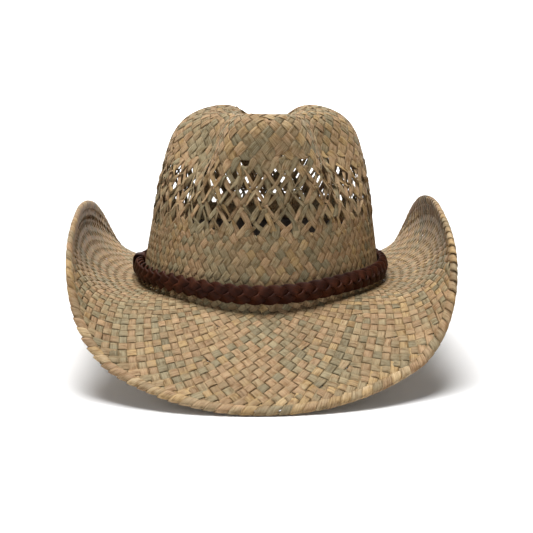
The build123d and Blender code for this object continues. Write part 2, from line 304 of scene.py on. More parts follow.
def wall_place(height):
    return 1 - 0.5 * height / WALL_HEIGHT


# ---- place of the hat in the frame ----
SHIFT = np.array([1.265, 2.225, 53.239])  # the CAD part's origin in the frame
ring_angles = np.linspace(0, TURN, 721)


def place_in_scene(name, data):
    made = bpy.data.objects.new(name, data)
    bpy.context.scene.collection.objects.link(made)
    return made


def new_mesh(name, points, faces, facts, body_name, slot, node):
    """A mesh piece from points in the hat's own millimetres, riding on a body.

    facts holds three numbers for each point, which the piece's material reads. A face whose
    last two corners are the same point is a triangle.
    """
    mesh = bpy.data.meshes.new(name)
    points = (np.asarray(points, float).reshape(-1, 3) + SHIFT) * MM
    faces = np.asarray(faces, dtype=np.int64)
    mesh.vertices.add(len(points))
    mesh.vertices.foreach_set("co", points.ravel())
    keep = np.ones(faces.shape, bool)
    keep[:, 3] = faces[:, 3] != faces[:, 2]
    corners = keep.sum(1)
    mesh.loops.add(int(corners.sum()))
    mesh.loops.foreach_set("vertex_index", faces[keep])
    mesh.polygons.add(len(faces))
    mesh.polygons.foreach_set("loop_start", np.cumsum(corners) - corners)
    mesh.polygons.foreach_set("use_smooth", np.full(len(faces), True))
    mesh.update(calc_edges=True)
    piece = place_in_scene(name, mesh)
    attribute = mesh.attributes.new("strip", "FLOAT_VECTOR", "POINT")
    attribute.data.foreach_set("vector", np.asarray(facts, float).ravel())
    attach(piece, body_name)
    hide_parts(node)
    return piece


# ---- layout of the weave ----
def ring_table(place):
    """Angle against the share of the way round, for the ring at one place."""
    run = run_along(body(ring_angles, place))
    return run / run[-1], run[-1]


def speed(place):
    """Mean distance along the section for a unit of place."""
    step = 0.002
    ahead = body(ring_angles[::10], place + step)
    back = body(ring_angles[::10], place - step)
    return np.linalg.norm(ahead - back, axis=1).mean() / (2 * step)


def zone(place):
    """Distance between crossings around, and height of a cell against its width."""
    if place < wall_place(VENT_TOP) - 1e-6:
        return TIP_PITCH, 1.0
    if place < 1:
        return WALL_PITCH, WALL_STRETCH
    return WALL_PITCH + (EDGE_PITCH - WALL_PITCH) * (place - 1), 1.0


def lay_rows(first, last, start_count):
    """Places and counts of the rows from first to last, both ends included."""
    places = [first]
    counts = [start_count]
    while True:
        place = places[-1]
        pitch, stretch = zone(place)
        _, length = ring_table(place)
        count = max(int(round(length / pitch)), counts[-1])
        step = 0.5 * stretch * length / max(count, 4) / speed(place)
        if place + step * 1.5 > last:
            break
        places.append(place + step)
        _, length = ring_table(places[-1])
        counts.append(max(int(round(length / zone(places[-1])[0])), counts[-1]))
    places = first + (np.array(places) - first) * (last - first) / (places[-1] - first)
    return list(places), counts


def all_rows():
    """Rows of the whole hat from the centre to the edge, and where each zone ends."""
    tip_places, tip_counts = lay_rows(FIRST_PLACE, wall_place(VENT_TOP), 4)
    vent_places = np.linspace(wall_place(VENT_TOP), wall_place(VENT_BOTTOM), VENT_ROWS + 1)
    wall_places, wall_counts = lay_rows(wall_place(VENT_BOTTOM), 1.0, WALL_STRIPS)
    brim_places, brim_counts = lay_rows(1.0, EDGE_PLACE, wall_counts[-1])
    places = tip_places[:-1] + list(vent_places[:-1]) + wall_places[:-1] + brim_places
    counts = tip_counts[:-1] + [VENT_STRIPS] * VENT_ROWS + wall_counts[:-1] + brim_counts
    vent_row = len(tip_places) - 1
    wall_row = vent_row + VENT_ROWS
    brim_row = wall_row + len(wall_places) - 1
    return np.array(places), counts, vent_row, wall_row, brim_row


class Weave:
    """Crossings of a plain weave in rings. Each row has one strip family on top throughout.

    Crossing j of a row is followed by the crossing below it to the left and to the right;
    where a row has more crossings than the last, the new ones are the folded tips of new strips.
    """

    def __init__(self, counts):
        self.counts = counts
        self.around = [np.arange(counts[0]) / counts[0]]
        self.right = []
        self.left = []
        self.fresh = [np.ones(counts[0], bool)]
        for row in range(len(counts) - 1):
            self.add_row(row, counts[row + 1])
        self.relax(160)

    def add_row(self, row, count):
        above = self.counts[row]
        extra = count - above
        start = (0.37 + 0.618 * row) % 1.0
        chosen = {int((i + start) * above / extra) % above for i in range(extra)}
        right = np.zeros(above, int)
        places = []
        fresh = []
        here = self.around[row]
        after = np.append(here[1:], here[0] + 1)
        for j in range(above):
            if j in chosen:
                places.append(here[j])
                fresh.append(True)
            right[j] = len(places)
            places.append((here[j] + after[j]) / 2)
            fresh.append(False)
        self.right.append(right)
        self.left.append(np.roll(right, 1))
        self.around.append(np.array(places))
        self.fresh.append(np.array(fresh))
        self.counts[row + 1] = len(places)

    def relax(self, rounds):
        """Evens out the crossings, each pulled to the middle of the ones around it."""
        for _ in range(rounds):
            for row, here in enumerate(self.around):
                before = np.append(here[-1] - 1, here[:-1])
                after = np.append(here[1:], here[0] + 1)
                pull = (before + after) / 2
                total = pull * 2.0
                weight = np.full(len(here), 2.0)
                if row + 1 < len(self.around):
                    for link in (self.left[row], self.right[row]):
                        value = self.around[row + 1][link]
                        total += value + np.round(here - value)
                        weight += 1
                if row > 0:
                    above = self.around[row - 1]
                    for link in (self.left[row - 1], self.right[row - 1]):
                        np.add.at(total, link, above + np.round(here[link] - above))
                        np.add.at(weight, link, 1)
                self.around[row] = total / weight

    def trace(self, links):
        """Strips of one family: the row and index of each crossing that a strip goes through."""
        strips = []
        for row, fresh in enumerate(self.fresh):
            for j in np.nonzero(fresh)[0]:
                path = [(row, int(j))]
                for below in range(row, len(links)):
                    path.append((below + 1, int(links[below][path[-1][1]])))
                strips.append(path)
        return strips


places, counts, VENT_ROW, WALL_ROW, BRIM_ROW = all_rows()
LAST_ROW = len(places) - 1
weave = Weave(list(counts))

tables, lengths = zip(*map(ring_table, places))

rng = np.random.default_rng(20)


def ring_turn(row, around):
    """Angles at shares of the way round a row, and the whole turns that come on top."""
    whole = np.floor(around)
    return np.interp(around - whole, tables[row], ring_angles), TURN * whole


def vent_shift(row, x):
    """Which way a vent beside a crossing pushes it: (around, along)."""
    step = row - VENT_ROW
    parity = step // 2 % 2
    if step % 2 == 1:
        return (-1.0 if int(round(x + 0.5)) % 2 == parity else 1.0), 0.0
    vent_below = int(round(x)) % 2 == parity
    if step > 0 and not vent_below:
        return 0.0, 1.0
    if step < VENT_ROWS and vent_below:
        return 0.0, -1.0
    return 0.0, 0.0


VENT_SPREAD = 1.35  # millimetres that a vent pushes the crossings beside it apart
VENT_STRETCH = 2.9  # and the crossings above and below it
VENT_JITTER = 0.60  # unevenness of the open work
VENT_TWIST = 0.55  # radians that its strips twist on their way
VENT_SLIM = (-0.28, 0.18)  # and how their width varies
CLOSE_JITTER = 0.12  # unevenness of the rows beside the open work
SLIP_LIMIT = 1.6
crossing_angle = []
crossing_place = []
crossing_gap = []  # mean distance to the crossings beside it, before they are pushed
for row, around in enumerate(weave.around):
    points = body(ring_turn(row, around)[0], places[row])
    ahead = np.linalg.norm(np.roll(points, -1, 0) - points, axis=1)
    crossing_gap.append((ahead + np.roll(ahead, 1)) / 2)
    around = around.copy()
    at = np.full(len(around), places[row])
    if VENT_ROW <= row <= WALL_ROW:
        pitch_speed = speed(places[row])
        for j in range(len(around)):
            side, down = vent_shift(row, j + (row - VENT_ROW) / 2)
            loose = VENT_JITTER if VENT_ROW < row < WALL_ROW else CLOSE_JITTER
            slip_around, slip_along = np.clip(rng.normal(0, loose, 2), -SLIP_LIMIT, SLIP_LIMIT)
            around[j] += (side * VENT_SPREAD + slip_around) / lengths[row]
            at[j] += (down * VENT_STRETCH + slip_along) / pitch_speed
    angle, turns = ring_turn(row, around)
    crossing_angle.append(angle + turns)
    crossing_place.append(at)


# ---- ribbons ----
TOP_SHARES = np.array([-1.0, -0.55, 0.0, 0.55, 1.0])
UNDER_SHARES = np.array([0.92, 0.0, -0.92])
UNDER_RIMS = [1.0, 0.6, 1.0]  # how near a rim its points count
END_FACES = np.array([[0, 1, 6, 7], [1, 2, 3, 6], [3, 4, 5, 6]])  # corners of a ribbon's end
END_OVERRUN = 0.40  # share of a step that the strips run past the last crossing
END_TAPER = np.array([1.0, 0.88, 0.72])  # and how they narrow there


def smooth_between(values):
    """Curve through the values with SUBSTEPS steps between each pair."""
    ends = np.concatenate([[2 * values[0] - values[1]], values, [2 * values[-1] - values[-2]]])
    p0, p1, p2, p3 = ends[:-3], ends[1:-2], ends[2:-1], ends[3:]
    t = (np.arange(SUBSTEPS) / SUBSTEPS)[None, :]
    a = -p0 + 3 * p1 - 3 * p2 + p3
    b = 2 * p0 - 5 * p1 + 4 * p2 - p3
    c = p2 - p0
    curve = 0.5 * ((a[:, None] * t + b[:, None]) * t + c[:, None]) * t + p1[:, None]
    return np.append(curve.ravel(), values[-1])


def strip_lines(path, family):
    """Centre line of a strip: angle, place, height, width and row, sampled between crossings."""
    rows = np.array([row for row, _ in path])
    angles, at, gap = (np.array([line[row][j] for row, j in path])
                       for line in (crossing_angle, crossing_place, crossing_gap))
    angles = np.unwrap(angles)
    over = np.where((rows % 2 == 0) == (family == "right"), 1.0, -1.0)
    if rows[-1] == LAST_ROW and len(rows) > 1:
        # the end runs on a little, into the rolled edge
        rows = np.append(rows, LAST_ROW)
        angles = np.append(angles, angles[-1] + (angles[-1] - angles[-2]) * END_OVERRUN)
        at = np.append(at, at[-1] + (at[-1] - at[-2]) * END_OVERRUN)
        gap = np.append(gap, gap[-1])
        over = np.append(over, over[-1] * 0.5)
    return rows, angles, at, gap, over


class Ribbons:
    """Collects ribbons and turns them into one mesh."""

    def __init__(self):
        self.points, self.faces, self.facts, self.rims = [], [], [], []
        self.total = 0

    def add(self, centre, normal, width, lift, number, roll=0.0, thickness=STRIP_THICKNESS,
            beside=None, dome=0.10):
        """A closed ribbon along a centre line, thin and arched across, square to its run or
        laid along beside."""
        if beside is None:
            across, up = side_and_up(centre, normal)
        else:
            across, up = beside, normal
        roll = np.broadcast_to(roll, (len(centre),))[:, None]
        across, up = (across * np.cos(roll) + up * np.sin(roll),
                      up * np.cos(roll) - across * np.sin(roll))
        half = width[:, None] / 2
        base = centre + normal * lift[:, None]
        dome = dome * np.minimum(width / 5.0, 1.0)
        rings = []
        for shares, face in ((TOP_SHARES, thickness / 2), (UNDER_SHARES, -thickness / 2)):
            for share in shares:
                height = face - dome * share * share
                rings.append(base + across * half * share + up * height[:, None])
        ring = np.stack(rings, 1)
        count, sides = ring.shape[:2]
        aside = np.concatenate([TOP_SHARES, UNDER_SHARES]) * half
        index = self.total + np.arange(count * sides).reshape(count, sides)
        self.points.append(ring.reshape(-1, 3))
        self.facts.append(tube_facts(run_along(centre), aside, number))
        self.rims.append(np.tile(np.append(np.abs(TOP_SHARES), UNDER_RIMS), count))
        self.faces += [tube_faces(index, True), index[0][END_FACES],
                       index[-1][END_FACES[:, ::-1]]]
        self.total += count * sides

    def piece(self, name, slot, node):
        points, faces, facts = map(np.concatenate, (self.points, self.faces, self.facts))
        made = new_mesh(name, points, faces, facts, "hat", slot, node)
        # how near a rim each point lies; the straw material paints shade there
        rim = made.data.attributes.new("rim", "FLOAT", "POINT")
        rim.data.foreach_set("value", np.concatenate(self.rims))
        return made


def wave(over):
    """Height along a strip that is flat over a crossing and drops quickly between crossings."""
    curve = np.cos(math.pi * (np.arange(SUBSTEPS) / SUBSTEPS)[None, :])
    eased = np.tanh(WAVE_STEEPNESS * curve) / math.tanh(WAVE_STEEPNESS)
    return np.append((over[:-1, None] * eased).ravel(), over[-1])


def start_before(*lines):
    """The values of a strip's lines, each with a first value of its own put before them."""
    return [np.insert(line, 0, first) for line, first in lines]


def strip_run(angles, at, gap):
    """Points of a strip's middle, their normals, and the width that the gap leaves it."""
    angle = smooth_between(angles)
    place = smooth_between(at)
    centre, normal = body_frame(angle, place)
    slant = np.cross(around_ring(angle, place), unit(np.gradient(centre, axis=0)))
    return centre, normal, smooth_between(gap) * np.linalg.norm(slant, axis=1)


def strip_number(seed, family):
    """Below 1 for the strips of the right family, above 1 for the left."""
    return seed * 0.999 + (0 if family == "right" else 1)


def zone_fill(row):
    """Share of the room between its neighbours that a strip fills."""
    if VENT_ROW < row < WALL_ROW:
        return 0.60
    if row in (VENT_ROW, WALL_ROW):
        return 0.95
    return 1.0


def weave_family(links, family):
    """All strips of one family as ribbons, cut where each zone ends under the other family."""
    zones = {"tip": (0, VENT_ROW), "vent": (VENT_ROW, WALL_ROW), "wall": (WALL_ROW, BRIM_ROW),
             "brim": (BRIM_ROW, LAST_ROW)}
    made = {name: Ribbons() for name in zones}
    for path in weave.trace(links):
        rows, angles, at, gap, over = strip_lines(path, family)
        if len(rows) < 2:
            continue
        if rows[0] == 0:
            rows, angles, at, gap, over = start_before(
                (rows, -1), (angles, angles[0]), (at, CENTRE_PLACE), (gap, gap[0]),
                (over, -over[0]))
        centre, normal, width = strip_run(angles, at, gap)
        fill = np.array([zone_fill(row) for row in rows])
        width = width * smooth_between(fill) * np.clip(rng.normal(1.0, 0.05), *WIDTH_LIMITS)
        seed = rng.random()
        width = width * (1 + 0.02 * np.sin(np.arange(len(width)) * 0.37 + seed * 40))
        lift = WAVE * wave(over) + rng.normal(0, 0.03)
        open_rows = (rows > VENT_ROW) & (rows < WALL_ROW)
        twist = smooth_between(rng.normal(0, VENT_TWIST, len(rows)) * open_rows)
        width = width * smooth_between(1 + rng.uniform(*VENT_SLIM, len(rows)) * open_rows)
        if rows[-1] == LAST_ROW:
            width[-3:] *= END_TAPER
        for name, (first, last) in zones.items():
            # a strip is cut where it lies under the other family
            if name != "tip" and (first % 2 == 0) == (family == "right"):
                first += 1
            if name != "brim" and (last % 2 == 0) == (family == "right"):
                last += 1
            inside = np.nonzero((rows >= first) & (rows <= last))[0]
            if len(inside) < 2:
                continue
            part = slice(inside[0] * SUBSTEPS, inside[-1] * SUBSTEPS + 1)
            made[name].add(centre[part], normal[part], width[part], lift[part],
                           strip_number(seed, family), roll=twist[part])
    return made


right = weave_family(weave.right, "right")
left = weave_family(weave.left, "left")
straw_pieces = []
zone_nodes = {"tip": ("straw_crown", "crown_tip"), "vent": ("straw_crown", "crown_vent_band"),
              "wall": ("straw_crown", "crown_side_wall"), "brim": ("straw_brim", "brim")}
for name, (slot, node) in zone_nodes.items():
    for family, made in (("right", right), ("left", left)):
        straw_pieces.append(made[name].piece(f"straw_{name}_{family}_strips", slot, node))


# ---- centre of the crown: the square of crossed strips that the weaving starts from ----
START_STRIPS = 7
START_PITCH = 6.2
START_DEPTH = 0.55  # below the strips around it, which lap over its rim


def crown_height(x, y):
    """Height of the crown's middle surface over points near its centre."""
    shares, turns = np.meshgrid(np.linspace(0.62, 0.999, 120), np.linspace(0, TURN, 181))
    known = crown_middle(turns, shares).reshape(-1, 3)
    away = np.hypot(known[:, 0][None] - x[:, None], known[:, 1][None] - y[:, None])
    weight = 1 / (away + 0.15) ** 4
    return (weight * known[:, 2]).sum(1) / weight.sum(1)


def start_square():
    made = Ribbons()
    middle = crown_middle(np.array([0.0]), np.array([0.999]))[0]
    half = START_STRIPS * START_PITCH / 2
    for line in range(START_STRIPS):
        side = (line + 0.5) * START_PITCH - half
        for family in (0, 1):
            t = np.linspace(-half, half, START_STRIPS * 6 + 1)
            u, v = (t, side) if family == 0 else (side, t)
            x = middle[0] + (u - v) * math.sqrt(0.5)
            y = middle[1] + (u + v) * math.sqrt(0.5)
            z = crown_height(x, y) - START_DEPTH
            beat = np.cos(math.pi * ((t + half) / START_PITCH - 0.5))
            height = FLAT_WAVE * beat * (1 if (line + family) % 2 == 0 else -1)
            centre = np.stack([x, y, z], -1)
            up = np.tile([0.0, 0.0, 1.0], (len(t), 1))
            width = np.full(len(t), START_PITCH * rng.uniform(0.93, 0.98))
            made.add(centre, up, width, height, rng.random() * 0.999 + family)
    return made.piece("straw_tip_start_square", "straw_crown", "crown_tip")


straw_pieces.append(start_square())


# ---- border: the strips' ends folded back over the brim's upper side ----
BORDER_LIFT = 1.0
BORDER_DIVE = 0.35  # of the inner ends, under the weave


def border_family(links, family):
    """Short strips over the last rows of the brim; their inner ends dive under the weave."""
    made = Ribbons()
    last = LAST_ROW
    for j in range(len(crossing_angle[last - 2])):
        path = [(last - 2, j)]
        for row in (last - 2, last - 1):
            path.append((row + 1, int(links[row][path[-1][1]])))
        _, angles, at, gap, over = strip_lines(path, family)
        inner = 0.55 + 0.25 * rng.random()
        angles, at, gap, over = start_before(
            (angles, angles[0] - (angles[1] - angles[0]) * inner),
            (at, at[0] - (at[1] - at[0]) * inner), (gap, gap[0]), (-over, 0.0))
        centre, normal, width = strip_run(angles, at, gap)
        width = width * rng.uniform(0.86, 0.98)
        width[-3:] *= END_TAPER
        step = np.arange(len(width)) / SUBSTEPS
        height = BORDER_LIFT * ramp(step / 0.9) - BORDER_DIVE * (1 - ramp(step / 0.4))
        height = height + FLAT_WAVE * wave(over) + rng.normal(0, 0.05)
        made.add(centre, normal, width, height, strip_number(rng.random(), family),
                 roll=rng.normal(0, 0.03))
    return made.piece(f"straw_border_{family}_strips", "straw_brim", "brim_border")


straw_pieces.append(border_family(weave.right, "right"))
straw_pieces.append(border_family(weave.left, "left"))


# ---- rolled edge: strips wrapped over the wire, each lapping the next ----
WRAP_PITCH = 7.5
WRAP_STEPS = 15
WRAP_THICKNESS = 0.45
WRAP_INSET = (1.0, 0.38)  # of the wraps' middle from the rolled edge's outside: out, up
WRAP_FROM = 142.0  # degrees around the edge at which a wrap starts, and its sweep
WRAP_SWEEP = 256.0
WRAP_LEAN = 0.95  # pitches that a wrap moves along the edge on its way round
WRAP_ROLL = -0.06  # each wrap laps the one beside it
WRAP_DOME = 0.32  # millimetres that a wrap's middle stands above its rims


def edge_wraps():
    made = Ribbons()
    shares, length = ring_table(EDGE_PLACE)
    count = int(round(length / WRAP_PITCH))
    reach = EDGE_REACH - WRAP_INSET[0]
    half = EDGE_HEIGHT / 2 - WRAP_INSET[1]
    t = np.linspace(0, 1, WRAP_STEPS)
    turn = np.radians(WRAP_FROM - WRAP_SWEEP * t)[:, None]
    for i in range(count):
        lean = WRAP_LEAN * (0.5 - t) + rng.normal(0, 0.04)
        share = ((i + 0.5 + lean) / count) % 1.0
        angle = np.unwrap(np.interp(share, shares, ring_angles))
        foot, up = body_frame(angle, EDGE_PLACE)
        out = unit(foot - body(angle, EDGE_PLACE - 0.02))
        centre = foot + out * reach * np.cos(turn) + up * half * np.sin(turn)
        normal = unit(out * np.cos(turn) / reach + up * np.sin(turn) / half)
        beside = body(angle + 0.01, EDGE_PLACE) - body(angle - 0.01, EDGE_PLACE)
        beside = unit(beside - normal * np.sum(beside * normal, axis=1, keepdims=True))
        width = length / count * (1.08 + 0.12 * np.sin(math.pi * t) ** 0.8)
        width = width * rng.uniform(0.94, 1.04)
        lift = 0.05 + 0.25 * np.sin(math.pi * t) + 0.20 * (1 - ramp(t / 0.16))
        lift = lift + rng.normal(0, 0.05)
        made.add(centre, normal, width, lift, rng.random() * 0.999, roll=WRAP_ROLL,
                 thickness=WRAP_THICKNESS, beside=beside, dome=WRAP_DOME)
    return made.piece("straw_edge_wraps", "straw_edge", "brim_edge_roll")


edge_piece = edge_wraps()


# ---- smooth bands and threads ----
def sweep(centre, across, up, half_width, half_depth, sides, power=2.6):
    """Points, faces and facts of a rounded flat section carried along a line."""
    cos, sin = rounded_turn(np.arange(sides) * TURN / sides, power)
    ring = (centre[:, None] + across[:, None] * half_width * cos[None, :, None]
            + up[:, None] * half_depth * sin[None, :, None])
    facts = tube_facts(run_along(centre), half_width * cos, half_depth * sin)
    index = np.arange(len(centre) * sides).reshape(len(centre), sides)
    points = ring.reshape(-1, 3)
    count = len(points)
    points = np.vstack([points, centre[0], centre[-1]])
    facts = np.vstack([facts, facts[0] * 0, facts[-1]])
    caps = [[count, b, a, a] for a, b in zip(index[0], np.roll(index[0], -1))]
    caps += [[count + 1, a, b, b] for a, b in zip(index[-1], np.roll(index[-1], -1))]
    return points, np.vstack([tube_faces(index), caps]), facts


def merge(parts):
    points, faces, facts = zip(*parts)
    starts = np.cumsum([0] + [len(group) for group in points[:-1]])
    faces = [group + start for group, start in zip(faces, starts)]
    return np.vstack(points), np.vstack(faces), np.vstack(facts)


UPRIGHT = np.array([0.0, 0.0, 1.0])
BAND_MIDDLE = 9.9  # above the crown's foot
BAND_OUT = 4.8  # from the middle of the straw
LACES = 3
LACE_TURNS = 21  # repeats of the plait around the hat
LACE_RISE = 3.6  # swing of a lace up and down, and in and out
LACE_DEPTH = 2.05
LACE_WIDTH = 7.0
LACE_THICKNESS = 1.8
LACE_POWER = 3.6  # squareness of its section
LACE_TIP = 0.42
LACE_GAP = 6.0  # between the braid's two ends
KNOT_ANGLE = -92.0  # degrees from the front; the binding's length is in degrees too
KNOT_LENGTH = 6.4
KNOT_TURNS = 6
KNOT_POWER = 3.2
KNOT_REACH = 4.2  # half sizes of the winding: out, and up
KNOT_HEIGHT = 7.1
KNOT_LACE = (1.05, 0.75)  # half width and half thickness of its lace


def band_line(angle):
    """Middle of the hat band and its outward direction."""
    wall = crown_middle(angle, np.full(len(angle), 0.5 * BAND_MIDDLE / WALL_HEIGHT))
    out = unit(np.stack([np.sin(angle) / BASE_HALF_WIDTH, -np.cos(angle) / BASE_HALF_LENGTH,
                         0 * angle], -1))
    return wall + out * BAND_OUT, out


def braid():
    """Three flat laces in a plain plait that runs right round the crown."""
    fine = np.linspace(0, TURN, 2881)
    line, _ = band_line(fine)
    run = run_along(line)
    period = run[-1] / LACE_TURNS
    start = np.interp(math.radians(KNOT_ANGLE + 2) % TURN, fine, run)
    pieces = []
    for lace in range(LACES):
        s = start + np.linspace(0, run[-1] - LACE_GAP, LACE_TURNS * 30)
        angle = np.interp(s % run[-1], run, fine) + TURN * np.floor(s / run[-1])
        middle, out = band_line(angle)
        phase = TURN * (s / period + lace / LACES)
        centre = (middle + UPRIGHT * (LACE_RISE * np.sin(phase))[:, None]
                  - out * (LACE_DEPTH * np.sin(2 * phase))[:, None])
        # the lace stays flat to the crown and tips a little as it dives
        normal = out + UPRIGHT * (LACE_TIP * np.sin(phase))[:, None]
        across, up = side_and_up(centre, normal)
        points, faces, facts = sweep(centre, across, up, LACE_WIDTH / 2, LACE_THICKNESS / 2,
                                     16, LACE_POWER)
        facts[:, 0] += lace * 1000
        pieces.append(new_mesh(f"hat_band_lace_{lace + 1}", points, faces, facts, "hat_band",
                               "leather", "hat_band_braid"))
    return pieces


def knot():
    """A narrow lace wound around the braid's two ends, tucked in at both ends."""
    t = np.linspace(0, 1, 420)
    angle = math.radians(KNOT_ANGLE) + math.radians(KNOT_LENGTH) * (t - 0.5)
    middle, out = band_line(angle)
    side, high = rounded_turn(TURN * KNOT_TURNS * t, KNOT_POWER)
    tuck = 1 - 0.25 * (np.exp(-(t / 0.03) ** 2) + np.exp(-((1 - t) / 0.03) ** 2))
    centre = (middle + out * (KNOT_REACH * side * tuck)[:, None]
              + UPRIGHT * (KNOT_HEIGHT * high * tuck)[:, None])
    across, up = side_and_up(centre, out * side[:, None] + UPRIGHT * high[:, None])
    points, faces, facts = sweep(centre, across, up, *KNOT_LACE, 10)
    return new_mesh("hat_band_binding", points, faces, facts, "hat_band", "leather",
                    "hat_band_knot")


leather_pieces = braid() + [knot()]


# ---- sweatband ----
BAND_TOP = 32.0
CLOTH = 1.1
CLOTH_GAP = 0.75  # clear of the strips inside the crown
CLOTH_ROWS = 14
CLOTH_PUCKER = 0.22
TAPE = 0.6
TAPE_HALF = math.radians(4.5)
TAPE_MARGIN = 1.5  # the tape is this much narrower than the sweatband on each side
STITCHES = 90
STITCH_HEIGHT = 4.0
STITCH_HALF_ANGLE = 0.0185
PLY_RADIUS = 0.2


def inner_wall(angle, height, distance):
    """Points that far inside the crown's wall, at a height above its foot."""
    angle, height = np.broadcast_arrays(angle, height)
    share = 0.5 * height / WALL_HEIGHT
    step = 0.003
    around = crown_middle(angle + step, share) - crown_middle(angle - step, share)
    along = crown_middle(angle, share + step) - crown_middle(angle, share - step)
    return crown_middle(angle, share) - unit(np.cross(around, along)) * distance[..., None]


def cloth_band(name, angles, low, high, face_depth, thickness, node):
    """A band of cloth with rounded long edges, its face towards the head."""
    rows = CLOTH_ROWS
    a, h = np.meshgrid(angles, np.linspace(low, high, rows), indexing="ij")
    pucker = CLOTH_PUCKER * (np.sin(a * 37) * 0.5 + np.sin(a * 83 + h * 0.13) * 0.3)
    pucker = pucker * (0.35 + 0.65 * (1 - (h - low) / (high - low)))
    edge = np.minimum(h - low, high - h)
    half = thickness / 2 * np.sqrt(np.clip(edge / 0.8, 0.05, 1.0))
    face = inner_wall(a, h, face_depth + thickness / 2 + pucker + half)
    back = inner_wall(a, h, face_depth + thickness / 2 + pucker - half)
    ring = np.concatenate([face, back[:, ::-1]], 1)
    count, sides = ring.shape[:2]
    run = run_along(face[:, rows // 2])
    facts = tube_facts(run, np.concatenate([h, h[:, ::-1]], 1), 0.5)
    index = np.arange(count * sides).reshape(count, sides)
    caps = []
    for line, flip in ((index[0], True), (index[-1], False)):
        for k in range(rows - 1):
            cap = [line[k], line[k + 1], line[sides - 2 - k], line[sides - 1 - k]]
            caps.append(cap[::-1] if flip else cap)
    piece = new_mesh(name, ring.reshape(-1, 3), np.vstack([tube_faces(index), caps]),
                     facts, "hat", "sweatband_cloth", node)
    return piece, run[-1]


cloth_angles = np.linspace(math.pi - TURN + 0.002, math.pi - 0.002, 720)
sweatband, sweatband_length = cloth_band("sweatband_cloth_band", cloth_angles, 0.0, BAND_TOP,
                                         CLOTH_GAP, CLOTH, "sweatband")
tape_angles = np.linspace(math.pi - TAPE_HALF, math.pi + TAPE_HALF, 24)
tape, _ = cloth_band("sweatband_cloth_tape", tape_angles, TAPE_MARGIN, BAND_TOP - TAPE_MARGIN,
                     CLOTH_GAP + CLOTH + 0.05, TAPE, "sweatband_joint_tape")


def stitches():
    """Short two-ply threads that enter the cloth at both ends."""
    parts = []
    for i in range(STITCHES):
        middle = TURN * (i + 0.5) / STITCHES - math.pi
        if abs(abs(middle) - math.pi) < TAPE_HALF + 0.026:
            continue
        t = np.linspace(-1, 1, 13)
        angle = middle + t * STITCH_HALF_ANGLE
        depth = CLOTH_GAP + CLOTH + 0.28 - 0.75 * np.abs(t) ** 6
        line = inner_wall(angle, np.full(13, STITCH_HEIGHT) + rng.normal(0, 0.15), depth)
        tangent = unit(np.gradient(line, axis=0))
        side = unit(np.cross(tangent, UPRIGHT))
        up = np.cross(side, tangent)
        for ply in (0, math.pi):
            twist = t * 6 + ply
            centre = line + (side * np.cos(twist)[:, None] + up * np.sin(twist)[:, None]) * 0.17
            parts.append(sweep(centre, up, side, PLY_RADIUS, PLY_RADIUS, 6, 2.0))
    return new_mesh("sweatband_thread", *merge(parts), "hat", "thread", "sweatband_stitches")


thread = stitches()


# ---- materials ----
class Nodes:
    """Short names for building a material's node tree."""

    def __init__(self, name):
        self.material = bpy.data.materials.new(name)
        self.material.use_nodes = True
        self.tree = self.material.node_tree
        self.shader = self.tree.nodes["Principled BSDF"]

    def node(self, kind, **settings):
        made = self.tree.nodes.new(kind)
        for key, value in settings.items():
            setattr(made, key, value)
        return made

    def link(self, value, socket):
        """Links a socket's value, or sets a number or a colour on the input itself."""
        if isinstance(value, (int, float)):
            socket.default_value = value
        elif isinstance(value, tuple):
            socket.default_value = (*value, 1)
        else:
            self.tree.links.new(value, socket)

    def math(self, operation, first, second=0.0):
        made = self.node("ShaderNodeMath", operation=operation)
        self.link(first, made.inputs[0])
        self.link(second, made.inputs[1])
        return made.outputs[0]

    def times(self, first, second):
        return self.math("MULTIPLY", first, second)

    def own(self, number, factor):
        """A number from 0 to 1 that differs from strip to strip."""
        return self.math("FRACT", self.times(number, factor))

    def vector(self, *parts):
        """A vector whose parts are values, each times a factor."""
        made = self.node("ShaderNodeCombineXYZ")
        for socket, (value, factor) in zip(made.inputs, parts):
            self.link(self.times(value, factor), socket)
        return made.outputs[0]

    def facts(self):
        """Distance along a strip, distance across it, and its own number or its depth."""
        facts = self.node("ShaderNodeAttribute", attribute_name="strip")
        split = self.node("ShaderNodeSeparateXYZ")
        self.link(facts.outputs["Vector"], split.inputs[0])
        return split.outputs

    def ramp(self, factor, stops):
        made = self.node("ShaderNodeValToRGB")
        elements = made.color_ramp.elements
        while len(elements) < len(stops):
            elements.new(0.5)
        for element, (position, colour) in zip(elements, stops):
            element.position = position
            element.color = (*colour, 1)
        self.link(factor, made.inputs[0])
        return made.outputs[0]

    def noise(self, vector, scale, detail):
        made = self.node("ShaderNodeTexNoise")
        made.inputs["Scale"].default_value = scale
        made.inputs["Detail"].default_value = detail
        self.link(vector, made.inputs["Vector"])
        return made.outputs["Fac"]

    def mix(self, kind, factor, first, second):
        made = self.node("ShaderNodeMix", data_type="RGBA", blend_type=kind)
        for place, value in ((0, factor), (6, first), (7, second)):
            self.link(value, made.inputs[place])
        return made.outputs[2]

    def tone(self, colour, factor, low, dark, high, light):
        """The colour times a grey or brown that turns from dark to light as factor rises."""
        return self.mix("MULTIPLY", 1.0, colour, self.ramp(factor, [(low, dark), (high, light)]))

    def set(self, **constants):
        """Sets the shader's own inputs; in their names, _ stands for a space."""
        for name, value in constants.items():
            self.shader.inputs[name.replace("_", " ")].default_value = value

    def finish(self, colour, height, strength, distance, **constants):
        """Links the colour and the bump, and sets the rest."""
        self.link(colour, self.shader.inputs["Base Color"])
        self.set(**constants)
        made = self.node("ShaderNodeBump")
        made.inputs["Strength"].default_value = strength
        made.inputs["Distance"].default_value = distance
        self.link(height, made.inputs["Height"])
        self.link(made.outputs[0], self.shader.inputs["Normal"])
        return self.material


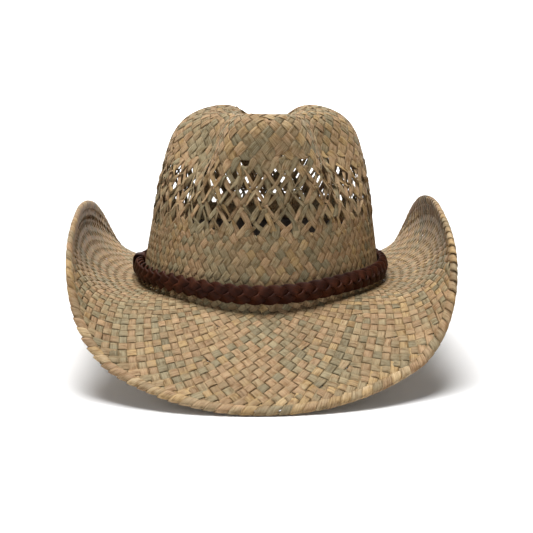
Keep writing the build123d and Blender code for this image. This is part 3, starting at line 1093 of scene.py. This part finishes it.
LEAF_COLOURS = [(0.00, (0.396, 0.354, 0.255)), (0.20, (0.424, 0.381, 0.274)),
                (0.30, (0.493, 0.415, 0.286)), (0.45, (0.524, 0.403, 0.269)),
                (0.60, (0.603, 0.427, 0.286)), (0.72, (0.548, 0.406, 0.262)),
                (0.86, (0.659, 0.486, 0.276)), (1.00, (0.700, 0.562, 0.386))]


def straw_material(name, tint, pale=0.0):
    """Dried palm leaf: each strip has its own tan, peach, gold or grey-green, with fibres."""
    n = Nodes(name)
    along, across, number = n.facts()
    # one colour for each strip, drifting slowly along it
    drift = n.noise(n.vector((along, 0.085), (number, 91.7)), 1.0, 1.5)
    shade = n.math("ADD", n.times(n.own(number, 37.31), 0.76), n.times(drift, 0.90))
    colour = n.ramp(n.math("ADD", shade, pale - 0.32), LEAF_COLOURS)
    colour = n.tone(colour, n.own(number, 71.93), 0.0, (0.84, 0.83, 0.81),
                    1.0, (1.14, 1.14, 1.13))
    # fibres run along the strip
    fibre = n.noise(n.vector((along, 0.05), (across, 3.0), (number, 53.0)), 1.0, 3.0)
    colour = n.tone(colour, fibre, 0.30, (0.54, 0.49, 0.42), 0.58, (1.10, 1.10, 1.09))
    # small stains, and painted shade on the strips' rims that stands in for the shadow in the
    # gaps between strips
    stain = n.noise(n.vector((along, 0.22), (across, 0.4), (number, 17.0)), 1.0, 2.0)
    colour = n.tone(colour, stain, 0.30, (0.68, 0.60, 0.50), 0.52, (1.02, 1.02, 1.02))
    rim = n.node("ShaderNodeAttribute", attribute_name="rim").outputs["Fac"]
    # painted shade: near a strip's rims the colour is pulled towards a dark brown
    dark = n.times(n.math("POWER", rim, 8.0), 0.26)
    colour = n.mix("MIX", dark, colour, (0.130, 0.085, 0.045))
    colour = n.mix("MULTIPLY", 1.0, colour, tint)
    return n.finish(colour, fibre, 0.35, 0.0002, Roughness=0.60, Specular_IOR_Level=0.12)


def leather_material():
    """Brown dyed leather: fine grain, lighter and darker in blotches and streaks, soft sheen."""
    n = Nodes("braided_leather")
    along, across, _ = n.facts()
    place = n.node("ShaderNodeTexCoord").outputs["Object"]
    grain = n.node("ShaderNodeTexVoronoi", feature="DISTANCE_TO_EDGE")
    grain.inputs["Scale"].default_value = 1500.0
    n.link(place, grain.inputs["Vector"])
    pores = grain.outputs["Distance"]
    blotch = n.noise(place, 120.0, 4.0)
    colour = n.ramp(blotch, [(0.28, (0.024, 0.0055, 0.0022)), (0.50, (0.042, 0.0105, 0.0040)),
                             (0.72, (0.075, 0.0210, 0.0080))])
    colour = n.mix("MULTIPLY", 0.8, colour,
                   n.ramp(pores, [(0.0, (0.45, 0.42, 0.40)), (0.12, (1.0, 1.0, 1.0))]))
    streak = n.noise(n.vector((along, 0.12), (across, 1.4)), 1.0, 2.0)
    colour = n.tone(colour, streak, 0.30, (0.70, 0.68, 0.66), 0.65, (1.25, 1.22, 1.2))
    height = n.math("ADD", n.math("MINIMUM", pores, 0.12), n.times(blotch, 0.4))
    return n.finish(colour, height, 0.30, 0.0004, Roughness=0.55, Specular_IOR_Level=0.12)


def cloth_material(name, dark, light):
    """Plain woven cloth: warp and weft a third of a millimetre apart."""
    n = Nodes(name)
    along, high, _ = n.facts()
    warp = n.math("SINE", n.times(along, 9.5))
    weft = n.math("SINE", n.times(high, 9.5))
    slub = n.noise(n.vector((along, 0.5), (high, 3.0)), 1.0, 3.0)
    mixed = n.math("ADD", n.times(n.times(warp, weft), 0.22), slub)
    return n.finish(n.ramp(mixed, [(0.25, dark), (0.75, light)]), mixed, 0.35, 0.0003,
                    Roughness=0.85, Sheen_Weight=0.25)


def thread_material():
    n = Nodes("waxed_thread")
    along, across, _ = n.facts()
    ply = n.noise(n.vector((along, 4.0), (across, 9.0)), 1.0, 2.0)
    colour = n.ramp(ply, [(0.3, (0.20, 0.145, 0.09)), (0.7, (0.46, 0.36, 0.24))])
    return n.finish(colour, ply, 0.3, 0.0001, Roughness=0.6)


def steel_material():
    n = Nodes("drawn_steel_wire")
    scratch = n.noise(n.node("ShaderNodeTexCoord").outputs["Object"], 900.0, 3.0)
    colour = n.ramp(scratch, [(0.3, (0.20, 0.20, 0.21)), (0.7, (0.36, 0.36, 0.37))])
    return n.finish(colour, scratch, 0.2, 0.0001, Metallic=1.0, Roughness=0.50)


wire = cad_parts["brim_edge_wire"]
wire.data.materials.clear()
for pieces, material in (
        (straw_pieces, straw_material("palm_straw", (0.615, 0.575, 0.495))),
        ([edge_piece], straw_material("palm_straw_edge", (0.64, 0.60, 0.535), 0.16)),
        (leather_pieces, leather_material()),
        ([sweatband], cloth_material("sweatband_weave", (0.030, 0.021, 0.015),
                                     (0.085, 0.062, 0.044))),
        ([tape], cloth_material("tape_weave", (0.022, 0.016, 0.012), (0.060, 0.044, 0.032))),
        ([thread], thread_material()),
        ([wire], steel_material())):
    for piece in pieces:
        piece.data.materials.append(material)


# ---- stage ----
CAMERA_DISTANCE = 0.90  # metres
CAMERA_TARGET = (4.4, 0.0, 7.0)  # in the hat's own millimetres
CAMERA_HEIGHT_ANGLE = 9.9  # degrees
CAMERA_TURN = 1.18
CAMERA_ROLL = 0.43
FIELD = 25.1
FLOOR_GLOW_FROM = 0.30  # metres from the middle of the floor
FLOOR_GLOW_TO = 2.4
FLOOR_GLOW = 0.85
BACKDROP_GLOW = 0.75
WORLD_LIGHT = 0.14


def add_camera():
    data = bpy.data.cameras.new("camera")
    data.sensor_width = 36
    data.angle = math.radians(FIELD)
    camera = place_in_scene("camera", data)
    height, turn, roll = map(math.radians, (CAMERA_HEIGHT_ANGLE, CAMERA_TURN, CAMERA_ROLL))
    forward = np.array([math.sin(turn) * math.cos(height), math.cos(turn) * math.cos(height),
                        -math.sin(height)])
    target = (SHIFT + np.array(CAMERA_TARGET)) * MM
    camera.location = target - forward * CAMERA_DISTANCE
    right_hand = np.array([math.cos(turn), -math.sin(turn), 0.0])
    upward = np.cross(right_hand, forward)
    r = right_hand * math.cos(roll) - upward * math.sin(roll)
    u = upward * math.cos(roll) + right_hand * math.sin(roll)
    camera.rotation_euler = Matrix((r, u, -forward)).transposed().to_euler()
    bpy.context.scene.camera = camera


def flat_stage(name, corners, glow):
    """A plain pale sheet that glows evenly, or more with distance if glow is None."""
    mesh = bpy.data.meshes.new(name)
    mesh.from_pydata(corners, [], [(0, 1, 2, 3)])
    n = Nodes(name + "_paper")
    n.set(Base_Color=(0.86, 0.86, 0.86, 1), Roughness=0.9, Specular_IOR_Level=0.05,
          Emission_Color=(1, 1, 1, 1))
    if glow is None:
        length = n.node("ShaderNodeVectorMath", operation="LENGTH")
        n.link(n.node("ShaderNodeTexCoord").outputs["Object"], length.inputs[0])
        spread = n.node("ShaderNodeMapRange", interpolation_type="SMOOTHSTEP")
        glows = (FLOOR_GLOW_FROM, FLOOR_GLOW_TO, 0.0, FLOOR_GLOW)
        for socket, value in zip(spread.inputs[1:5], glows):
            socket.default_value = value
        n.link(length.outputs["Value"], spread.inputs[0])
        n.link(spread.outputs[0], n.shader.inputs["Emission Strength"])
    else:
        n.set(Emission_Strength=glow)
    mesh.materials.append(n.material)
    place_in_scene(name, mesh)


def add_light(name, place, size, power):
    data = bpy.data.lights.new(name, "AREA")
    data.size = size
    data.energy = power
    light = place_in_scene(name, data)
    light.location = place
    aim = Vector((0, 0, 0.06)) - Vector(place)
    light.rotation_euler = aim.to_track_quat("-Z", "Y").to_euler()


def add_world():
    """White to the camera, and a dim fill light to everything else."""
    world = bpy.data.worlds.new("studio")
    world.use_nodes = True
    tree = world.node_tree
    background = tree.nodes["Background"]
    background.inputs["Color"].default_value = (1, 1, 1, 1)
    light_path = tree.nodes.new("ShaderNodeLightPath")
    brightness = tree.nodes.new("ShaderNodeMapRange")
    brightness.inputs["To Min"].default_value = WORLD_LIGHT
    brightness.inputs["To Max"].default_value = 1.0
    tree.links.new(light_path.outputs["Is Camera Ray"], brightness.inputs["Value"])
    tree.links.new(brightness.outputs["Result"], background.inputs["Strength"])
    bpy.context.scene.world = world


add_camera()
flat_stage("floor", [(-4, -3, 0), (4, -3, 0), (4, 3, 0), (-4, 3, 0)], None)
flat_stage("backdrop", [(-4, 3, 0), (4, 3, 0), (4, 3, 2), (-4, 3, 2)], BACKDROP_GLOW)
add_light("top", (-0.2, 0.10, 2.6), 1.5, 112)
add_light("left", (-1.8, -0.4, 1.0), 1.0, 6)
add_light("right", (1.8, -0.4, 1.0), 1.0, 3)
add_world()
bpy.context.scene.view_settings.view_transform = "Standard"
